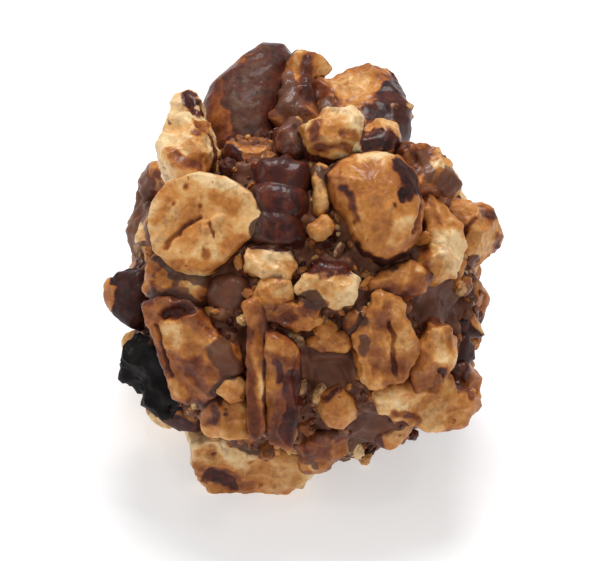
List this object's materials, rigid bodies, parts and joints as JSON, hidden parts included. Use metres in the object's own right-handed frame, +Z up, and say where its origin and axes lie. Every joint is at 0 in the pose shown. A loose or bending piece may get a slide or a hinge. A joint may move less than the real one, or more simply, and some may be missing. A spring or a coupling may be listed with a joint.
{
  "type": "pecan praline chocolate",
  "caption": "Hand-pressed ball of milk chocolate praline rolled in roasted, chopped pecans, one bite-size sweet that rests on a small flat spot.",
  "frame": {"origin": "middle of the flat spot that the ball rests on", "axes": "+Z up; -Y towards the side that the picture shows"},
  "size_m": [0.0372, 0.0403, 0.0352],
  "materials": {
    "chocolate": "satin",
    "pecan": "satin"
  },
  "bodies": {
    "root": {"bottom_slab": "pecan", "chunk_top_front": "pecan", "chunk_top_right": "pecan", "edge_slab": "pecan", "forked_piece": "pecan", "furrowed_slab": "pecan", "golden_lobe": "pecan", "kernel_top": "pecan", "left_chunk": "pecan", "left_lower_chunk": "pecan", "pale_chunk": "pecan", "pecan_01": "pecan", "pecan_02": "pecan", "pecan_03": "pecan", "pecan_04": "pecan", "pecan_05": "pecan", "pecan_06": "pecan", "pecan_07": "pecan", "pecan_08": "pecan", "pecan_09": "pecan", "pecan_10": "pecan", "pecan_11": "pecan", "praline_ball": "chocolate", "ridged_kernel": "pecan", "right_knob": "pecan", "round_slice": "pecan", "skin_slab": "pecan", "small_fork": "pecan"}
  },
  "joints": []
}
